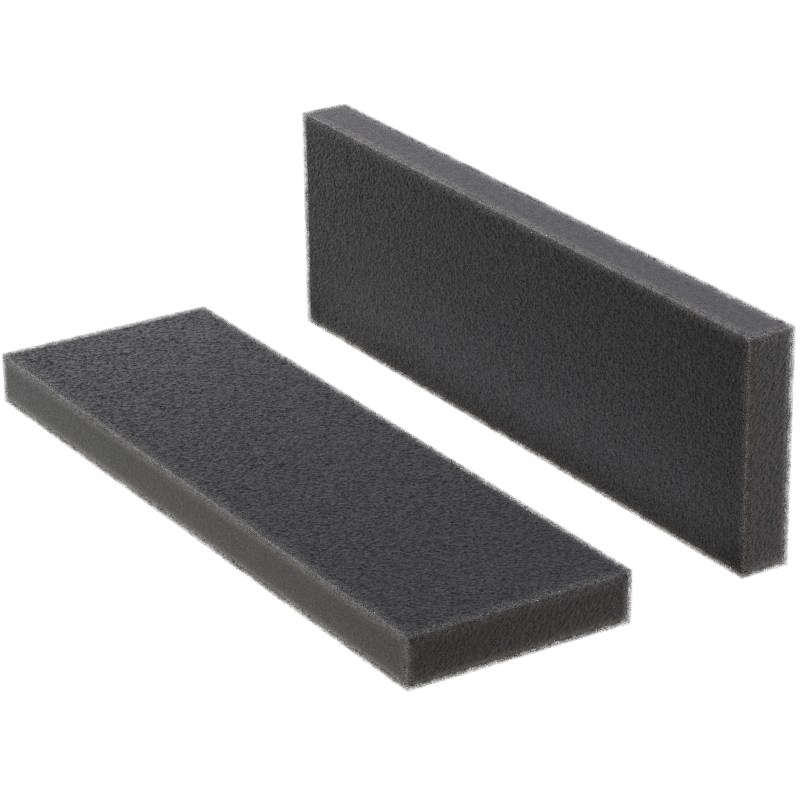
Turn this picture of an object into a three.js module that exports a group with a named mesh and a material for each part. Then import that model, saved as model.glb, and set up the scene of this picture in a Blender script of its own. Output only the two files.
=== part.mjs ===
// Two foam air filter elements for the air box of a small engine.
//
// Each element is a plain rectangular block, cut with a straight blade from one
// sheet of open-cell foam, so the two are the same size. One lies on its large
// face. The other stands on its long edge behind it. They are loose pieces that
// touch nowhere, and each is pressed into its own air box by hand.
//
// Units are millimetres. +X runs along the length, +Y from the lying element
// towards the standing one, and +Z up. The origin is on the surface that both
// elements rest on, at the middle of the pair.

import * as THREE from 'three';
import { RoundedBoxGeometry } from 'three/addons/geometries/RoundedBoxGeometry.js';

// The block that the blade cuts.
const elementLength = 260;
const elementWidth = 80;
const elementThickness = 18;

// Foam gives a little under the blade, so its cut edges are barely rounded.
const cutEdgeRadius = 0.6;
const cutEdgeSteps = 2;

// How the pair is laid out.
const aisleWidth = 45.6;
const standingSetBack = 5.7;

// The foam's finish.
const foamColour = 0x3c3c3d;
const foamRoughness = 0.95;
const foamMetalness = 0;

function foamMaterial() {
  return new THREE.MeshStandardMaterial({
    color: foamColour,
    roughness: foamRoughness,
    metalness: foamMetalness,
  });
}

// One cut block, with its length along X, its width along Y, and lying flat.
function foamElement(name) {
  const block = new RoundedBoxGeometry(
    elementLength,
    elementWidth,
    elementThickness,
    cutEdgeSteps,
    cutEdgeRadius,
  );
  const element = new THREE.Mesh(block, foamMaterial());
  element.name = name;
  return element;
}

// The pair's own footprint: the lying element, the aisle, and the standing element.
const pairDepth = elementWidth + aisleWidth + elementThickness;

function lyingElement() {
  const element = foamElement('lying_foam_element');
  element.position.set(
    standingSetBack / 2,
    (elementWidth - pairDepth) / 2,
    elementThickness / 2,
  );
  return element;
}

// A quarter turn about X puts the width upright and the thickness along Y.
function standingElement() {
  const element = foamElement('standing_foam_element');
  element.rotation.x = Math.PI / 2;
  element.position.set(
    -standingSetBack / 2,
    (pairDepth - elementThickness) / 2,
    elementWidth / 2,
  );
  return element;
}

const pair = new THREE.Group();
pair.name = 'foam_filter_pair';
pair.add(lyingElement());
pair.add(standingElement());

export default pair;
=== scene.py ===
# %% [markdown]
# # Two foam air filter elements
#
# A small engine breathes through a block of foam. This file builds the looks of two such blocks,
# one lying flat and one standing on its long edge, around the imported model of the pair.
#
# Filter foam is not a solid. It is a net of thin struts with nothing between them, so its faces look
# grainy, its outline is a fringe that light shines through, and its cut edges catch light from both
# sides. The lesson makes each of those three things from real geometry, and also paints the light on
# the cut edges into the foam's colours.

import math

import bpy
from mathutils import Matrix, Vector


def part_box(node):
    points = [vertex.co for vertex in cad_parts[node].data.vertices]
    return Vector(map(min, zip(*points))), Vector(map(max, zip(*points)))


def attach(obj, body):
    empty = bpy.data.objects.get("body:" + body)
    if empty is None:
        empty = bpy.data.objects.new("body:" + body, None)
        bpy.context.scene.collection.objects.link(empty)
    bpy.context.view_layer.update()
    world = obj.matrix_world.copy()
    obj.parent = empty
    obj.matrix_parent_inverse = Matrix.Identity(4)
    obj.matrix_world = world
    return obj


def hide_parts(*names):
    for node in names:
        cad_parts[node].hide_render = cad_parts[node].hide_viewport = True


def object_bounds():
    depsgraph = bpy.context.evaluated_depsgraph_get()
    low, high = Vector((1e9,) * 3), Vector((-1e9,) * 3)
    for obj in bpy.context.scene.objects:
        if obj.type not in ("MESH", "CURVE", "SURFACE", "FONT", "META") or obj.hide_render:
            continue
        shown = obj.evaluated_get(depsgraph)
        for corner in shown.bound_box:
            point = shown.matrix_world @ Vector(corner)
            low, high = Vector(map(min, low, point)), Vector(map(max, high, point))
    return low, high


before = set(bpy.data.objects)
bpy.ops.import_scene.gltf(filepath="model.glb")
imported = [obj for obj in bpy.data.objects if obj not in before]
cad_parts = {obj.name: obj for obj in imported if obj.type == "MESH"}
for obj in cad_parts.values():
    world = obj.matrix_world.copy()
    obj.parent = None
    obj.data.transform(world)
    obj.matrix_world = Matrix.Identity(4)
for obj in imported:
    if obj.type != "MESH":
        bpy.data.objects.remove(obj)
cad_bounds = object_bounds()
scene = bpy.context.scene
MM = 0.001

# %% [markdown]
# ## The camera
#
# A long lens a metre away keeps the blocks' edges nearly parallel, as in a catalogue picture. The
# camera could be placed by hand, but two angles, a distance and a lens say what the view is, and can
# be changed one at a time.

# %% Camera
CAMERA_AZIMUTH = math.radians(57.97)
CAMERA_ELEVATION = math.radians(22.98)
CAMERA_ROLL = math.radians(0.8)
CAMERA_DISTANCE = 1142.7 * MM
CAMERA_LENS = 159.6
AIM_FROM_MIDDLE = Vector((12.4, 2.5, -8.1)) * MM

pair_middle = (cad_bounds[0] + cad_bounds[1]) / 2


def camera_axes(azimuth, elevation, roll):
    """The camera's right, up and backward directions."""
    back = Vector((
        math.sin(azimuth) * math.cos(elevation),
        -math.cos(azimuth) * math.cos(elevation),
        math.sin(elevation),
    ))
    level = Vector((0, 0, 1)).cross(back).normalized()
    upright = back.cross(level)
    right = level * math.cos(roll) - upright * math.sin(roll)
    return right, back.cross(right), back


def add_camera():
    camera = bpy.data.objects.new("camera", bpy.data.cameras.new("camera"))
    scene.collection.objects.link(camera)
    camera.data.lens = CAMERA_LENS
    right, up, back = camera_axes(CAMERA_AZIMUTH, CAMERA_ELEVATION, CAMERA_ROLL)
    turn = Matrix((right, up, back)).transposed().to_4x4()
    stand = pair_middle + AIM_FROM_MIDDLE + back * CAMERA_DISTANCE
    camera.matrix_world = Matrix.Translation(stand) @ turn
    scene.camera = camera
    return camera


camera = add_camera()
print("camera at", [round(x, 3) for x in camera.matrix_world.translation])

# %% [markdown]
# ## A light table
#
# The pair lies on a light table: a white panel that shines upwards, in a dark room. Nothing casts a
# shadow there, and the light behind the blocks is what shows through their open cells. A panel lit
# only from above would need lamps so strong that the dark foam turned grey.

# %% Light table and room
PANEL_HALF_SIDE = 3.0
PANEL_DROP = 0.2 * MM
WHITE = (1.0, 1.0, 1.0, 1.0)


def add_room(brightness):
    world = bpy.data.worlds.new("room")
    world.use_nodes = True
    background = world.node_tree.nodes["Background"]
    background.inputs["Color"].default_value = WHITE
    background.inputs["Strength"].default_value = brightness
    scene.world = world


def light_panel_material(strength):
    material = bpy.data.materials.new("light_panel")
    material.use_nodes = True
    shader = material.node_tree.nodes["Principled BSDF"]
    shader.inputs["Base Color"].default_value = (0.0, 0.0, 0.0, 1.0)
    shader.inputs["Specular IOR Level"].default_value = 0.0
    shader.inputs["Emission Color"].default_value = WHITE
    shader.inputs["Emission Strength"].default_value = strength
    return material


def add_light_table():
    side = PANEL_HALF_SIDE
    top = cad_bounds[0].z - PANEL_DROP
    mesh = bpy.data.meshes.new("light_table")
    mesh.from_pydata(
        [(-side, -side, top), (side, -side, top), (side, side, top), (-side, side, top)],
        [],
        [(0, 1, 2, 3)],
    )
    mesh.materials.append(light_panel_material(1.0))
    table = bpy.data.objects.new("light_table", mesh)
    scene.collection.objects.link(table)


add_room(0.0)
add_light_table()
scene.view_settings.view_transform = "Standard"
scene.cycles.use_denoising = False
print("light table at", round(cad_bounds[0].z - PANEL_DROP, 4))

# %% [markdown]
# ## Studio lamps
#
# The light table alone lights every upright face alike. Soft lamps then give each face its own tone:
# one overhead, one low on the left, one at the left end of the aisle, whose light fades along the
# length, one low in front, and one low behind on the right that fills the ends. A glowing strip on the
# table in the aisle brightens the foot of the standing block. The lamps stay hidden from the camera, and
# they are a little bluer than the table, as daylight tubes are.

# %% Lamps
def add_lamp(name, place, aim, sides, power, colour):
    """A soft lamp; its two sides are its length and its height."""
    lamp = bpy.data.lights.new(name, "AREA")
    lamp.shape = "RECTANGLE"
    lamp.size, lamp.size_y = sides
    lamp.energy = power
    lamp.color = colour
    holder = bpy.data.objects.new(name, lamp)
    scene.collection.objects.link(holder)
    holder.location = place
    holder.rotation_euler = (Vector(aim) - Vector(place)).to_track_quat("-Z", "Y").to_euler()
    holder.visible_camera = False
    return holder


AISLE = (0.0, 0.031, 0.0005)
ABOVE_AISLE = (0.0, 0.031, 1.0)

add_lamp("overhead_lamp", (-0.35, 0.25, 1.0), pair_middle, (0.6, 0.6), 27.8, (0.94, 0.96, 1.13))
add_lamp("left_lamp", (-0.30, -0.22, 0.07), (-0.05, 0.02, 0.03), (0.1, 0.1), 0.95, (0.91, 0.98, 1.12))
add_lamp("front_lamp", (0.06, -0.36, 0.06), (0.03, 0.0, 0.03), (0.15, 0.08), 0.77, (0.95, 0.98, 1.08))
add_lamp("rear_lamp", (0.20, 0.34, 0.07), (0.05, 0.05, 0.02), (0.12, 0.12), 1.85, (0.92, 0.93, 1.15))
add_lamp("aisle_strip", AISLE, ABOVE_AISLE, (0.24, 0.034), 0.07, (0.96, 0.94, 1.10))
add_lamp("aisle_lamp", (-0.34, 0.03, 0.09), (0.0, 0.045, 0.03), (0.1, 0.1), 1.3, (0.98, 0.98, 1.0))

# %% [markdown]
# ## Writing node trees as sums
#
# A node tree is a formula. Wiring each node by hand hides the formula, so `Field` stands for one
# socket, and adding or multiplying fields makes the math node and its wires. The same class serves the
# geometry trees and the shader trees, because both share these nodes.

# %% Fields
def join(tree, value, target):
    """Wires a field or a socket to an input, or sets the input to a plain value."""
    if isinstance(value, Field):
        value = value.socket
    if isinstance(value, bpy.types.NodeSocket):
        tree.links.new(value, target)
    else:
        target.default_value = value


def add_node(tree, kind, inputs=(), **settings):
    """A new node with its settings, and its inputs wired or set."""
    node = tree.nodes.new(kind)
    for name, value in settings.items():
        setattr(node, name, value)
    for name, value in dict(inputs).items():
        join(tree, value, node.inputs[name])
    return node


def is_vector(value):
    return value.socket.type == "VECTOR" if isinstance(value, Field) else hasattr(value, "__len__")


class Field:
    """One socket of a node tree, which sums and products turn into math nodes."""

    def __init__(self, tree, socket):
        self.tree = tree
        self.socket = socket

    def math(self, operation, *others):
        vectors = is_vector(self) or any(is_vector(other) for other in others)
        kind = "ShaderNodeVectorMath" if vectors else "ShaderNodeMath"
        node = add_node(self.tree, kind, {0: self}, operation=operation)
        for place, other in enumerate(others, 1):
            target = node.inputs["Scale"] if operation == "SCALE" else node.inputs[place]
            if target.type == "VECTOR" and not is_vector(other) and not isinstance(other, Field):
                other = (other, other, other)
            join(self.tree, other, target)
        return Field(self.tree, next(out for out in node.outputs if out.enabled))

    def __add__(self, other):
        return self.math("ADD", other)

    def __sub__(self, other):
        return self.math("SUBTRACT", other)

    def __mul__(self, other):
        scaled = is_vector(self) and not is_vector(other)
        return self.math("SCALE" if scaled else "MULTIPLY", other)

    def __truediv__(self, other):
        return self.math("DIVIDE", other)

    def above(self, limit):
        return self.math("GREATER_THAN", limit)

    def below(self, limit):
        return self.math("LESS_THAN", limit)

    def clamped(self, low, high):
        return self.math("MAXIMUM", low).math("MINIMUM", high)

    def parts(self):
        """The x, y and z of a vector."""
        node = add_node(self.tree, "ShaderNodeSeparateXYZ", {0: self})
        return [Field(self.tree, out) for out in node.outputs]


def vector(tree, x, y, z):
    node = add_node(tree, "ShaderNodeCombineXYZ", {0: x, 1: y, 2: z})
    return Field(tree, node.outputs[0])


def choose(switch, when_one, when_zero):
    """when_one where switch is 1, and when_zero where it is 0."""
    return when_one * switch + when_zero * (switch * -1.0 + 1.0)


print("fields ready")

# %% [markdown]
# ## Geometry trees
#
# Both trees take a block's half size and its middle, work on the block as if it stood at the origin,
# and move the result into place last. `Chain` holds the geometry while nodes are added to it one after
# another, so that a tree reads from top to bottom.

# %% Chains of geometry nodes
class Chain:
    """A geometry tree under construction: its inputs by name, and the geometry so far."""

    def __init__(self, name, inputs):
        self.tree = bpy.data.node_groups.new(name, "GeometryNodeTree")
        self.tree.interface.new_socket("Geometry", in_out="OUTPUT", socket_type="NodeSocketGeometry")
        for label, kind in inputs.items():
            self.tree.interface.new_socket(label, in_out="INPUT", socket_type="NodeSocket" + kind)
        entry = self.tree.nodes.new("NodeGroupInput")
        self.given = {label: Field(self.tree, entry.outputs[label]) for label in inputs}
        self.position = self.field("GeometryNodeInputPosition")
        self.geometry = None

    def node(self, kind, inputs=(), **settings):
        return add_node(self.tree, kind, inputs, **settings)

    def field(self, kind, inputs=(), output=0, **settings):
        return Field(self.tree, self.node(kind, inputs, **settings).outputs[output])

    def then(self, kind, inputs=(), entry=0, **settings):
        """Adds a node that the geometry passes through, and returns that node."""
        node = self.node(kind, inputs, **settings)
        join(self.tree, self.geometry, node.inputs[entry])
        self.geometry = node.outputs[0]
        return node

    def keep(self, value, kind="FLOAT", domain="POINT"):
        """Freezes a field's value here, so that later moves don't change it."""
        node = self.then("GeometryNodeCaptureAttribute", domain=domain)
        node.capture_items.new(kind, "kept")
        join(self.tree, value, node.inputs[1])
        return Field(self.tree, node.outputs[1])

    def store(self, name, value, kind="FLOAT", domain="POINT"):
        """Writes a field into the mesh as a named attribute, where the material can read it."""
        facts = {"Name": name, "Value": value}
        self.then("GeometryNodeStoreNamedAttribute", facts, data_type=kind, domain=domain)

    def drop(self, selection, domain):
        self.then("GeometryNodeDeleteGeometry", {"Selection": selection}, domain=domain)

    def finish(self, material):
        """Every tree ends in real faces with their material, moved to the block's place."""
        self.then("GeometryNodeRealizeInstances")
        self.then("GeometryNodeSetPosition", {"Offset": self.given["Middle"]})
        self.then("GeometryNodeSetMaterial", {"Material": material})
        exit_node = self.tree.nodes.new("NodeGroupOutput")
        join(self.tree, self.geometry, exit_node.inputs[0])
        return self.tree


print("chains ready")

# %% [markdown]
# ## Where a point is in the block
#
# Three facts about a point drive its colour. One is its distance to the nearest cut edge: foam there is
# lit from two sides, and that light is painted in as a brighter colour. One is its height above the
# block's underside: light from the pale ground that shines up through the lowest few millimetres is
# painted in there as well. The last is whether it is on one of the four narrow sides or on a large face,
# and the narrow sides are lighter than the large faces.

# %% Edge distance and narrow sides
NARROW_SIDE_MARGIN = 0.05 * MM


def edge_facts(position, half):
    """The distance to the nearest edge of the block, and 1 on its narrow sides."""
    gap_x, gap_y, gap_z = (half - position.math("ABSOLUTE")).math("MAXIMUM", 0.0).parts()
    nearest = gap_x.math("MINIMUM", gap_y).math("MINIMUM", gap_z)
    farthest = gap_x.math("MAXIMUM", gap_y).math("MAXIMUM", gap_z)
    second = gap_x + gap_y + gap_z - nearest - farthest
    edge_distance = (nearest * nearest + second * second).math("SQRT")
    _, half_y, half_z = half.parts()
    gap_across = choose(half_z.below(half_y), gap_z, gap_y)
    narrow = (gap_across - nearest).above(NARROW_SIDE_MARGIN)
    return edge_distance, narrow


def store_edge_facts(chain):
    edge_distance, narrow = edge_facts(chain.position, chain.given["Half size"])
    _, _, z = chain.position.parts()
    _, _, half_z = chain.given["Half size"].parts()
    chain.store("edge_distance", edge_distance)
    chain.store("narrow_side", narrow)
    chain.store("height", z + half_z)


print("edge facts ready")

# %% [markdown]
# ## The pitted body
#
# The eye can't follow the net more than a pore or two deep, so the inside of a block is one closed body
# whose skin is all pores. It could be a plain box with a bump texture, but its outline would be dead
# straight. Here every pore is a real hollow, sunk where a cell pattern has its middles.
#
# The skin is a box cut into a fine grid, and small random shifts break up the grid's straight rows.
# Towards the block's edges the body is rounded off, to leave room for the open cells of the next step.
# The pores are shallower on the narrow sides, where low light would draw long shadows out of them.

# %% Body tree
GRID_SHIFT = 0.3
PORE_SLOPE = 1.3
SIDE_PORE_LOSS = 0.5


def unfold(chain, half):
    """Stores a flat map named OFBake for baking colours into: the six sides side by side."""
    half_x, half_y, half_z = half.parts()
    x, y, z = chain.position.parts()
    side = chain.keep(chain.field("GeometryNodeInputNormal"), "VECTOR", "FACE")
    on_x, on_y, on_z = side.math("ABSOLUTE").parts()
    to_x, to_y, to_z = side.math("MAXIMUM", 0.0).parts()
    across = (on_y + on_z) * (x + half_x) + on_x * (y + half_y + to_x * half_y * 2.0)
    up_z = y + half_y + to_z * half_y * 2.0
    up_y = half_y * 4.0 + z + half_z + to_y * half_z * 2.0
    up_x = half_y * 4.0 + half_z * 4.0 + z + half_z
    up = on_z * up_z + on_y * up_y + on_x * up_x
    flat = vector(chain.tree, across / (half_x * 2.0), up / (half_y * 4.0 + half_z * 6.0), 0.0)
    chain.store("OFBake", flat, "FLOAT2", "CORNER")


def foam_body_tree(material):
    chain = Chain("foam_body", {
        "Half size": "Vector", "Middle": "Vector", "Edge room": "Float",
        "Grid": "Float", "Pore pitch": "Float", "Pore depth": "Float",
    })
    half, room, grid = (chain.given[name] for name in ("Half size", "Edge room", "Grid"))

    # A box with a grid of points on its sides.
    count_x, count_y, count_z = (half * 2.0 / vector(chain.tree, grid, grid, grid)).parts()
    box = chain.node("GeometryNodeMeshCube", {
        "Size": half * 2.0, "Vertices X": count_x, "Vertices Y": count_y, "Vertices Z": count_z,
    })
    chain.geometry = box.outputs[0]
    unfold(chain, half)

    # Rounding: each point is pushed out from an inner box by the edge room.
    inner = half - room
    anchor = chain.position.clamped(inner * -1.0, inner)
    outward = chain.keep((chain.position - anchor).math("NORMALIZE"), "VECTOR")
    scatter = chain.field("FunctionNodeRandomValue", {0: (-1, -1, -1), 1: (1, 1, 1), "Seed": 3},
                          data_type="FLOAT_VECTOR")
    sideways = scatter - outward * scatter.math("DOT_PRODUCT", outward)
    rounded = anchor + outward * room + sideways * (grid * GRID_SHIFT)
    chain.then("GeometryNodeSetPosition", {"Position": rounded})

    # The pores: deepest in the middle of each cell of the pattern, nothing on its rim.
    pitch = chain.given["Pore pitch"]
    cells = chain.field("ShaderNodeTexVoronoi", {
        "Vector": chain.position + chain.given["Middle"], "Scale": pitch.math("POWER", -1.0),
    })
    pore = chain.keep((cells * -PORE_SLOPE + 1.0).clamped(0.0, 1.0))
    _, narrow = edge_facts(chain.position, half)
    depth = chain.given["Pore depth"] * (narrow * -SIDE_PORE_LOSS + 1.0)
    sink = outward * (pore * depth) * -1.0
    chain.then("GeometryNodeSetPosition", {"Offset": sink})
    chain.then("GeometryNodeSetShadeSmooth", {"Shade Smooth": False})
    chain.store("pore", pore)
    store_edge_facts(chain)
    return chain.finish(material)


print("body tree can be built")

# %% [markdown]
# ## One strut
#
# Real struts are slivers with three hollow sides. Seen from an arm's length away only their width and
# direction matter, so each is the simplest closed solid there is: four triangles. Its two ends are
# short blades set crosswise, which gives it body in the middle and lets four of them meet at a corner.

# %% Strut solid
STRUT_CORNERS = [(-0.5, 0.0, -0.5), (0.5, 0.0, -0.5), (0.0, -0.5, 0.5), (0.0, 0.5, 0.5)]
STRUT_FACES = [(1, 0, 2), (0, 1, 3), (2, 0, 3), (1, 2, 3)]
STRUT_PLACES = [(0.1, 0.1), (0.9, 0.1), (0.1, 0.9), (0.9, 0.9)]


def strut_solid():
    """A strut one unit long and one wide, with a small map of its own."""
    mesh = bpy.data.meshes.new("strut")
    mesh.from_pydata(STRUT_CORNERS, [], STRUT_FACES)
    places = mesh.attributes.new("strut_place", "FLOAT2", "POINT")
    for number, place in enumerate(STRUT_PLACES):
        places.data[number].vector = place
    return bpy.data.objects.new("strut", mesh)


strut = strut_solid()
print("strut faces", len(strut.data.polygons))

# %% [markdown]
# ## One block of cells
#
# Soap froth settles into cells with fourteen sides, six squares and eight hexagons, stacked so that
# four struts meet at every corner. Foam keeps that pattern when it sets. The smallest cube that
# repeats in all three directions holds twenty-four struts.
#
# The list below could be typed out. The rule is shorter: a corner of the pattern has one coordinate
# on the cube's grid, one at a half and one at a quarter, and corners at the shortest distance join.

# %% Cell wires
SHORTEST_STRUT = math.sqrt(2) / 4
LENGTH_TOLERANCE = 0.01
NEIGHBOURS = (-1, 0, 1)


def cell_corners():
    """The corners of the pattern in one cube with a side of 1."""
    corners = set()
    for half_axis in range(3):
        for quarter_axis in range(3):
            if quarter_axis == half_axis:
                continue
            for quarter in (0.25, 0.75):
                corner = [0.0, 0.0, 0.0]
                corner[half_axis] = 0.5
                corner[quarter_axis] = quarter
                corners.add(tuple(corner))
    return sorted(corners)


def cell_wires():
    """The struts of one cube, as loose edges, each once."""
    corners = cell_corners()
    points, wires, middles = [], [], set()
    moves = [(a, b, c) for a in NEIGHBOURS for b in NEIGHBOURS for c in NEIGHBOURS]
    for start in corners:
        for move in moves:
            for other in corners:
                end = tuple(o + m for o, m in zip(other, move))
                middle = tuple(round((s + e) / 2 % 1, 3) for s, e in zip(start, end))
                wrong_length = abs(math.dist(start, end) - SHORTEST_STRUT) > LENGTH_TOLERANCE
                if wrong_length or middle in middles:
                    continue
                middles.add(middle)
                wires.append((len(points), len(points) + 1))
                points += [start, end]
    mesh = bpy.data.meshes.new("cell_wires")
    mesh.from_pydata(points, wires, [])
    return bpy.data.objects.new("cell_wires", mesh)


wires = cell_wires()
print("struts in one cube of cells", len(wires.data.edges))

# %% [markdown]
# ## The open cells along the edges
#
# Near an edge of the block a line of sight crosses only a few pores, and the white behind shows
# through. That fringe has to be a real net. A fur of loose hairs would be quicker to make, but real
# foam ends in loops and forks, not in tips.
#
# The tree fills the block with the repeating cube, bends the whole pattern with smooth noise so that
# no two cells are alike, and cuts it at the block's faces, as the knife does. It drops what lies inside
# the body of the last step and puts a strut on every wire that is left. `From` and `To` bound the part
# of the block that one piece covers, so that no piece grows too heavy.

# %% Open cell tree
COARSE_BEND_SCALE = 1 / (7 * MM)
FINE_BEND_SCALE = 1 / (1.2 * MM)
SAMPLE_SHIFT = (0.5, 0.31, 0.17)
NOISE_SPREAD = 4.0
KEPT_DEPTH = 1.6
KEPT_MARGIN = 2.5


def body_distance(position, half, edge_room):
    """How far a point lies outside the rounded body, and below 0 inside it."""
    beyond = position.math("ABSOLUTE") - (half - edge_room)
    x, y, z = beyond.parts()
    outside = beyond.math("MAXIMUM", 0.0).math("LENGTH")
    inside = x.math("MAXIMUM", y).math("MAXIMUM", z).math("MINIMUM", 0.0)
    return outside + inside - edge_room


def beyond_region(chain, position):
    """How far a point lies outside the part of the block that this piece covers."""
    low_x, low_y, low_z = (chain.given["From"] - position).parts()
    high_x, high_y, high_z = (position - chain.given["To"]).parts()
    low = low_x.math("MAXIMUM", low_y).math("MAXIMUM", low_z)
    high = high_x.math("MAXIMUM", high_y).math("MAXIMUM", high_z)
    return low.math("MAXIMUM", high)


def bend(chain, scale, reach):
    """A smooth random shift of up to about reach, from a noise colour that centres on mid grey."""
    sample = chain.position + chain.given["Middle"] + SAMPLE_SHIFT
    noise = chain.field("ShaderNodeTexNoise", {"Vector": sample, "Scale": scale, "Detail": 1.0},
                        output="Color")
    centred = add_node(chain.tree, "ShaderNodeVectorMath", {0: noise, 1: (0.5, 0.5, 0.5)},
                       operation="SUBTRACT")
    return Field(chain.tree, centred.outputs[0]) * (reach * NOISE_SPREAD)


def fill_with_points(chain, cell):
    """A lattice of points that fills the block, one for each cube of cells."""
    tree = chain.tree
    for axis, half in enumerate(chain.given["Half size"].parts()):
        count = (half * 2.0 / cell).math("CEIL") + 2.0
        start = [count * cell * -0.5 if place == axis else 0.0 for place in range(3)]
        stride = [cell if place == axis else 0.0 for place in range(3)]
        line = chain.node("GeometryNodeMeshLine", {
            "Count": count, "Start Location": vector(tree, *start), "Offset": vector(tree, *stride),
        })
        if chain.geometry is None:
            chain.geometry = line.outputs[0]
            continue
        chain.then("GeometryNodeInstanceOnPoints", {"Instance": line.outputs[0]})
        chain.then("GeometryNodeRealizeInstances")


def open_cells_tree(material):
    chain = Chain("open_cells", {
        "Half size": "Vector", "Middle": "Vector", "Edge room": "Float", "Cell": "Float",
        "Strut width": "Float", "Coarse bend": "Float", "Fine bend": "Float",
        "From": "Vector", "To": "Vector",
    })
    tree, given = chain.tree, chain.given
    half, cell = given["Half size"], given["Cell"]

    # Cubes of cells, except deep in the body and outside this piece's part of the block. The limits
    # count cubes, and leave room for the bend.
    fill_with_points(chain, cell)
    cube_size = vector(tree, cell, cell, cell)
    centre = chain.position + cube_size * 0.5
    deep = body_distance(centre, half, given["Edge room"]).below(cell * -KEPT_DEPTH)
    far_off = beyond_region(chain, centre).above(cell * KEPT_MARGIN)
    chain.drop(deep.math("MAXIMUM", far_off), "POINT")
    wire_piece = chain.node("GeometryNodeObjectInfo", {"Object": wires}).outputs["Geometry"]
    chain.then("GeometryNodeInstanceOnPoints", {"Instance": wire_piece, "Scale": cube_size})
    chain.then("GeometryNodeRealizeInstances")

    # The bend, and then the cuts.
    shift = bend(chain, COARSE_BEND_SCALE, given["Coarse bend"])
    shift = shift + bend(chain, FINE_BEND_SCALE, given["Fine bend"])
    chain.then("GeometryNodeSetPosition", {"Offset": shift})
    in_body = body_distance(chain.position, half, given["Edge room"]).below(0.0)
    beyond_x, beyond_y, beyond_z = (chain.position.math("ABSOLUTE") - half).parts()
    cut_off = beyond_x.math("MAXIMUM", beyond_y).math("MAXIMUM", beyond_z).above(0.0)
    elsewhere = beyond_region(chain, chain.position).above(0.0)
    chain.drop(in_body.math("MAXIMUM", cut_off).math("MAXIMUM", elsewhere), "EDGE")
    trimmed = chain.position.clamped(half * -1.0, half)
    chain.then("GeometryNodeSetPosition", {"Position": trimmed})

    # A strut on every wire.
    ends = chain.node("GeometryNodeInputMeshEdgeVertices")
    run = Field(tree, ends.outputs["Position 2"]) - Field(tree, ends.outputs["Position 1"])
    run = chain.keep(run, "VECTOR", "EDGE")
    chain.then("GeometryNodeMeshToPoints", mode="EDGES")
    turn = chain.node("FunctionNodeAlignRotationToVector", {"Vector": run}, axis="Z").outputs[0]
    width = given["Strut width"]
    chain.then("GeometryNodeInstanceOnPoints", {
        "Instance": chain.node("GeometryNodeObjectInfo", {"Object": strut}).outputs["Geometry"],
        "Rotation": turn,
        "Scale": vector(tree, width, width, run.math("LENGTH")),
    })

    # Each strut gets a square of its own in the flat map for baking colours into.
    size = chain.node("GeometryNodeAttributeDomainSize", component="INSTANCES")
    join(tree, chain.geometry, size.inputs[0])
    squares = Field(tree, size.outputs["Instance Count"]).math("SQRT").math("CEIL")
    number = chain.field("GeometryNodeInputIndex")
    square = vector(tree, number.math("FLOORED_MODULO", squares), (number / squares).math("FLOOR"), 0.0)
    square = chain.keep(square, "VECTOR", "INSTANCE")
    chain.then("GeometryNodeRealizeInstances")
    place = chain.field("GeometryNodeInputNamedAttribute", {"Name": "strut_place"},
                        data_type="FLOAT_VECTOR")
    on_map = (place + square) * squares.math("POWER", -1.0)
    chain.store("OFBake", on_map, "FLOAT2", "CORNER")
    chain.then("GeometryNodeSetShadeSmooth", {"Shade Smooth": True})
    store_edge_facts(chain)
    return chain.finish(material)


print("open cell tree can be built")

# %% [markdown]
# ## Painted light along the edges
#
# Both foam materials share one effect, so it is a node group: a gain that is 1 in the middle of a large
# face, higher on the narrow sides, and higher again towards each cut edge and towards the underside.
# Those two rises are painted light, for light that gets in there from two sides. It reads the three
# facts that the geometry trees stored. Each material gives the large faces and the narrow sides a
# painted edge light of their own, so that their tones meet at the edge.

# %% Painted light and side tone group
def new_shader_group(name, inputs, outputs):
    group = bpy.data.node_groups.new(name, "ShaderNodeTree")
    for label in inputs:
        group.interface.new_socket(label, in_out="INPUT", socket_type="NodeSocketFloat")
    for label, kind in outputs.items():
        group.interface.new_socket(label, in_out="OUTPUT", socket_type="NodeSocket" + kind)
    entry = group.nodes.new("NodeGroupInput")
    return group, {label: Field(group, entry.outputs[label]) for label in inputs}


def attribute(tree, name):
    node = add_node(tree, "ShaderNodeAttribute", attribute_name=name)
    return Field(tree, node.outputs["Fac"])


def cut_tone_group():
    group, given = new_shader_group(
        "cut_tone",
        ["Edge light", "Rise width", "Side gain", "Side edge light", "Side edge light width", "Underside light", "Seep height"],
        {"Gain": "Float", "On narrow side": "Float"},
    )
    distance = attribute(group, "edge_distance")
    reach = distance / given["Rise width"]
    side_reach = distance / given["Side edge light width"]
    # Painted light: the colour is brighter towards each cut edge, where light gets in from two sides.
    large = (reach * reach * -1.0).math("EXPONENT") * given["Edge light"] + 1.0
    side = (side_reach * side_reach * -1.0).math("EXPONENT") * given["Side edge light"] + 1.0
    narrow = attribute(group, "narrow_side")
    # Painted light: the colour is brighter near the underside, for light from the table shining up
    # through the foam.
    climb = attribute(group, "height") / given["Seep height"]
    underside_glow = (climb * -1.0).math("EXPONENT") * given["Underside light"] + 1.0
    exit_node = group.nodes.new("NodeGroupOutput")
    gain = choose(narrow, side * given["Side gain"], large) * underside_glow
    join(group, gain, exit_node.inputs["Gain"])
    join(group, narrow, exit_node.inputs["On narrow side"])
    return group


cut_tone = cut_tone_group()
print("group", cut_tone.name)

# %% [markdown]
# ## Foam materials
#
# Filter foam is dyed through, so it has no gloss and no second colour, only struts that catch light and
# pores that swallow it. The body's material runs from nearly black at the bottom of a pore to charcoal
# on its rim, which is painted shade in the pores, and a fine cell pattern adds the struts that cross
# each pore. The open cells have the charcoal alone, because their dark comes from real gaps.

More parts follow.
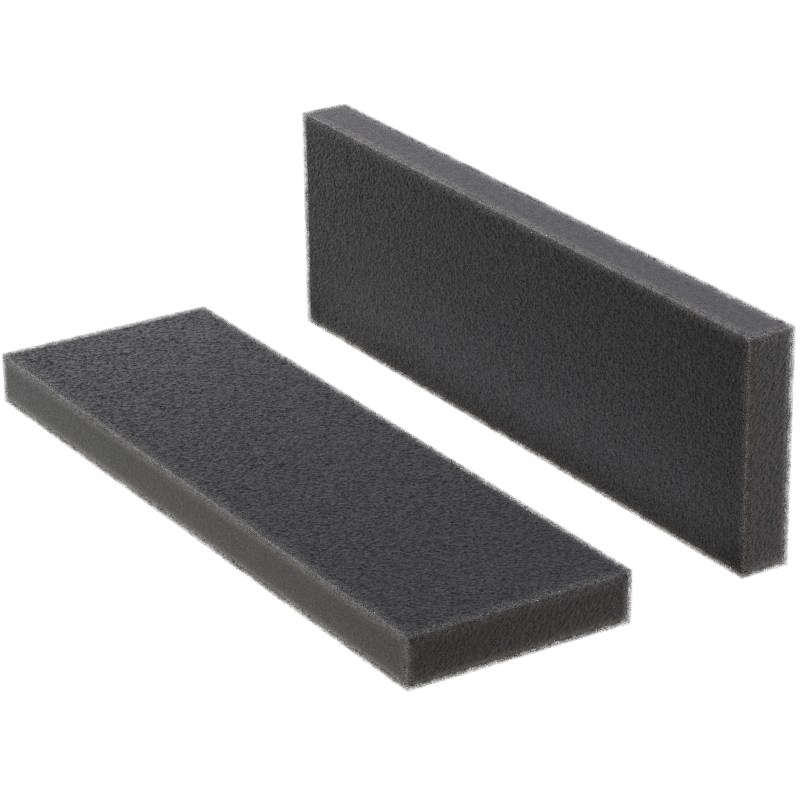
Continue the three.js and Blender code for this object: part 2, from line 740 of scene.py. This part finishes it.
# %% Material helpers
def new_foam_material(name, roughness):
    material = bpy.data.materials.new(name)
    material.use_nodes = True
    shader = material.node_tree.nodes["Principled BSDF"]
    shader.inputs["Roughness"].default_value = roughness
    shader.inputs["Specular IOR Level"].default_value = 0.25
    return material, material.node_tree, shader


def add_cut_tone(tree, settings):
    """The group of painted edge and underside light with its settings, as its two outputs."""
    group = add_node(tree, "ShaderNodeGroup", node_tree=cut_tone)
    group.name = "cut_tone"
    for name, value in settings.items():
        group.inputs[name].default_value = value
    return Field(tree, group.outputs["Gain"]), Field(tree, group.outputs["On narrow side"])


# %% Open cell material
STRUT_TONE = (0.0840, 0.0805, 0.0725)
PATCH_SIZE = 3 * MM
PATCH_CONTRAST = 0.5
# Painted edge and underside light for the open cells, and their gain on the narrow sides.
STRUT_LIGHT_AND_SIDE_TONE = {
    "Edge light": 1.0, "Rise width": 2 * MM,
    "Side gain": 1.3, "Side edge light": 1.8, "Side edge light width": 1 * MM,
    "Underside light": 1.0, "Seep height": 2.8 * MM,
}


def strut_material():
    material, tree, shader = new_foam_material("foam_struts", 0.85)
    # Painted light towards the cut edges and the underside, and the lighter narrow sides.
    gain, _ = add_cut_tone(tree, STRUT_LIGHT_AND_SIDE_TONE)
    place = add_node(tree, "ShaderNodeTexCoord").outputs["Object"]
    patches = add_node(tree, "ShaderNodeTexNoise", {
        "Vector": place, "Scale": 1 / PATCH_SIZE, "Detail": 2.0,
    })
    patchy = Field(tree, patches.outputs["Fac"]) * PATCH_CONTRAST + (1.0 - PATCH_CONTRAST / 2)
    join(tree, vector(tree, *STRUT_TONE) * patchy * gain, shader.inputs["Base Color"])
    return material


# %% Body material
PORE_TONE = (0.0013, 0.0012, 0.0011)
RIM_TONE = (0.0257, 0.0243, 0.0204)
STRAND_PITCH = 0.85 * MM
STRAND_MIDDLE = 1.08
STRAND_FADE = 3.85
PORE_SHADE = 0.5
SIDE_STRANDS = 0.4
SIDE_HAZE = 0.27
# Painted edge and underside light for the body, and its gain on the narrow sides.
BODY_LIGHT_AND_SIDE_TONE = {
    "Edge light": 6.0, "Rise width": 2 * MM,
    "Side gain": 3.2, "Side edge light": 5.0, "Side edge light width": 2 * MM,
    "Underside light": 1.0, "Seep height": 2.8 * MM,
}


def body_material():
    material, tree, shader = new_foam_material("foam_body", 0.95)
    # Painted light towards the cut edges and the underside, and the lighter narrow sides.
    gain, narrow = add_cut_tone(tree, BODY_LIGHT_AND_SIDE_TONE)
    place = add_node(tree, "ShaderNodeTexCoord").outputs["Object"]
    cells = add_node(tree, "ShaderNodeTexVoronoi", {"Vector": place, "Scale": 1 / STRAND_PITCH},
                     feature="DISTANCE_TO_EDGE")

    # Bright strands on the edges of a cell pattern, shaded where they cross a pore.
    strands = (Field(tree, cells.outputs["Distance"]) * -STRAND_FADE + STRAND_MIDDLE).clamped(0.0, 1.0)
    # Painted shade: darker towards the bottom of each pore.
    light = strands * (attribute(tree, "pore") * -PORE_SHADE + 1.0)

    # The narrow sides get weaker strands and an even, lighter haze.
    light = light * (narrow * (SIDE_STRANDS - 1.0) + 1.0) + narrow * SIDE_HAZE
    colour = vector(tree, *RIM_TONE) * light + vector(tree, *PORE_TONE)
    join(tree, colour * gain, shader.inputs["Base Color"])
    return material


body_tree = foam_body_tree(body_material())
cells_tree = open_cells_tree(strut_material())
print("trees", body_tree.name, cells_tree.name)

# %% [markdown]
# ## Making the pieces
#
# A tree becomes a piece in three steps: a modifier gets the sizes, Blender works the tree out, and the
# result is kept as a plain mesh. Each block is one body and three nets of open cells: the long edges on
# its two large faces, and the two ends.

# %% From tree to mesh
def make_piece(name, tree, sizes):
    holder = bpy.data.objects.new(name + "_holder", bpy.data.meshes.new(name + "_holder"))
    scene.collection.objects.link(holder)
    modifier = holder.modifiers.new("build", "NODES")
    modifier.node_group = tree
    for item in tree.interface.items_tree:
        if item.in_out == "INPUT":
            modifier[item.identifier] = sizes[item.name]
    ready = holder.evaluated_get(bpy.context.evaluated_depsgraph_get())
    piece = bpy.data.objects.new(name, bpy.data.meshes.new_from_object(ready))
    piece.data.name = name
    scene.collection.objects.link(piece)
    bpy.data.objects.remove(holder)
    faces = sum(len(polygon.vertices) - 2 for polygon in piece.data.polygons)
    print(name, "has", faces, "triangles")
    return piece


FOAM_SIZES = {
    "Edge room": 3.5 * MM,
    "Grid": 0.65 * MM,
    "Pore pitch": 0.8 * MM,
    "Pore depth": 0.5 * MM,
    "Cell": 0.79 * MM,
    "Strut width": 0.076 * MM,
    "Coarse bend": 0.9 * MM,
    "Fine bend": 0.28 * MM,
}
OUTSIDE = 5 * MM


def cell_regions(half):
    """The three parts of a block: the edges of its two large faces, and its ends."""
    far = half + Vector((OUTSIDE, OUTSIDE, OUTSIDE))
    end = half.x - FOAM_SIZES["Edge room"]
    thin = 2 if half.z < half.y else 1
    flat_low = Vector((end, far.y, far.z))
    flat_low[thin] = 0.0
    yield "rear_edges", [(-Vector((end, far.y, far.z)), flat_low)]
    flat_high = Vector((-end, -far.y, -far.z))
    flat_high[thin] = 0.0
    yield "front_edges", [(flat_high, Vector((end, far.y, far.z)))]
    yield "ends", [
        (-far, Vector((-end, far.y, far.z))),
        (Vector((end, -far.y, -far.z)), far),
    ]


def join_pieces(pieces, name):
    """One object out of one or more, by joining their meshes."""
    first = pieces[0]
    if len(pieces) > 1:
        bpy.ops.object.select_all(action="DESELECT")
        for piece in pieces:
            piece.select_set(True)
        bpy.context.view_layer.objects.active = first
        bpy.ops.object.join()
    first.name = name
    first.data.name = name
    return first


def declare(piece, body):
    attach(piece, body)


# %% The two blocks
def add_foam_element(node, body, prefix):
    low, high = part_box(node)
    half = (high - low) / 2
    sizes = dict(FOAM_SIZES, **{"Half size": half, "Middle": (high + low) / 2})
    block = make_piece(prefix + "_foam_body", body_tree, sizes)
    declare(block, body)
    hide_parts(node)
    for part, regions in cell_regions(half):
        name = prefix + "_open_cells_" + part
        nets = [
            make_piece(name + "_" + str(count), cells_tree, dict(sizes, From=low_end, To=high_end))
            for count, (low_end, high_end) in enumerate(regions)
        ]
        declare(join_pieces(nets, name), body)


add_foam_element("lying_foam_element", "lying_element", "lying")
add_foam_element("standing_foam_element", "standing_element", "standing")
